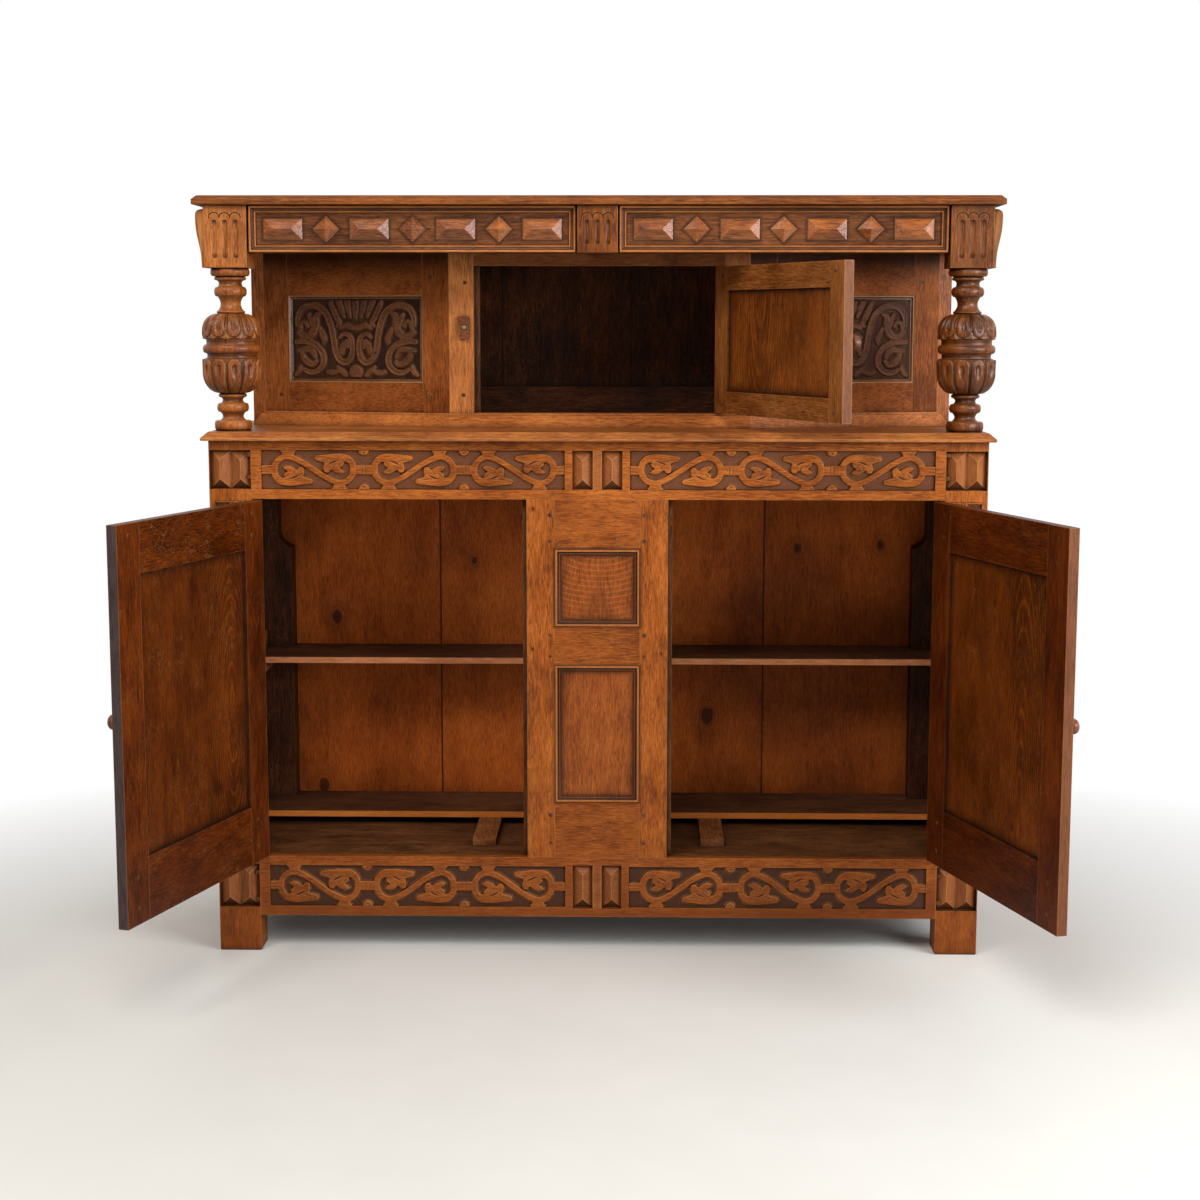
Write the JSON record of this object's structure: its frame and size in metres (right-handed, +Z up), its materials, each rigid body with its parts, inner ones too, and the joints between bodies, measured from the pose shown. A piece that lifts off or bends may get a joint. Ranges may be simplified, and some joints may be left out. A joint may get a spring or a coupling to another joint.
{
  "type": "court cupboard",
  "caption": "Joined oak court cupboard: lower case with hinged doors and shelves, recessed upper cupboard with canted carved panels, jewelled canopy on turned columns.",
  "frame": {"origin": "on the floor, in the middle of the footprint with the doors standing open as stored", "axes": "+Z up, +X to the right as one faces the cupboard, +Y from the front to the back"},
  "size_m": [1.5284, 0.925, 1.35],
  "materials": {
    "oak_front": "waxed satin",
    "oak_carved": "waxed satin over dark recesses",
    "oak_side": "waxed satin",
    "oak_door": "waxed satin",
    "inner_wood": "dry, unpolished",
    "pine_back": "stained, matt",
    "turned_wood": "waxed satin",
    "iron": "dull, oxidised"
  },
  "bodies": {
    "carcase": {"base_moulding": "oak_front", "bottom_rail": "oak_front", "canopy_frieze": "oak_front", "canopy_mouldings": "oak_front", "canopy_sides": "oak_front", "canted_rails": "oak_front", "canted_stiles": "oak_front", "carved_panel_left": "oak_carved", "carved_panel_right": "oak_carved", "case_hinge_leaves": "iron", "centre_block": "oak_front", "centre_panels": "oak_front", "centre_rails": "oak_front", "centre_stile_left": "oak_front", "centre_stile_right": "oak_front", "column_left": "oak_front", "column_right": "oak_front", "corner_block_left": "oak_front", "corner_block_right": "oak_front", "door_stops": "inner_wood", "floor_board": "inner_wood", "frieze_rail": "oak_front", "front_post_left": "oak_front", "front_post_right": "oak_front", "hinge_pins": "iron", "jewels": "oak_front", "lower_back_boards": "pine_back", "middle_board": "oak_front", "rear_posts": "oak_side", "rear_rails": "inner_wood", "shelf_bearers": "inner_wood", "shelf_cleats": "inner_wood", "shelf_lower": "inner_wood", "shelf_upper": "inner_wood", "side_panels": "oak_side", "side_rails": "oak_side", "top_board": "oak_front", "turn_button_screw": "iron", "upper_back_boards": "pine_back", "upper_back_rail": "inner_wood", "upper_end_boards": "oak_side", "upper_front_rails": "oak_front", "upper_stile_left": "oak_front", "upper_stile_right": "oak_front"},
    "lower_left_door": {"left_door_hinge_leaves": "iron", "left_door_knob": "turned_wood", "left_door_panel": "oak_door", "left_door_rails": "oak_door", "left_door_stiles": "oak_door"},
    "lower_right_door": {"right_door_hinge_leaves": "iron", "right_door_knob": "turned_wood", "right_door_panel": "oak_door", "right_door_rails": "oak_door", "right_door_stiles": "oak_door"},
    "upper_door": {"upper_door_hinge_leaves": "iron", "upper_door_knob": "turned_wood", "upper_door_panel": "oak_door", "upper_door_rails": "oak_door", "upper_door_stiles": "oak_door"},
    "turn_button": {"turn_button": "turned_wood"}
  },
  "joints": [
    {"name": "lower_left_door_hinge", "type": "hinge", "parent": "carcase", "child": "lower_left_door", "pos_m": [-0.60925, 0.005, 0.5], "axis": [0, 0, 1], "range_deg": [-63, 107]},
    {"name": "lower_right_door_hinge", "type": "hinge", "parent": "carcase", "child": "lower_right_door", "pos_m": [0.60925, 0.005, 0.5], "axis": [0, 0, 1], "range_deg": [-107, 63]},
    {"name": "upper_door_hinge", "type": "hinge", "parent": "carcase", "child": "upper_door", "pos_m": [0.22775, 0.163, 1.1], "axis": [0, 0, 1], "range_deg": [-115, 34]},
    {"name": "turn_button_pivot", "type": "hinge", "parent": "carcase", "child": "turn_button", "pos_m": [-0.245, 0.1625, 1.1235], "axis": [0, -1, 0], "continuous": true}
  ]
}
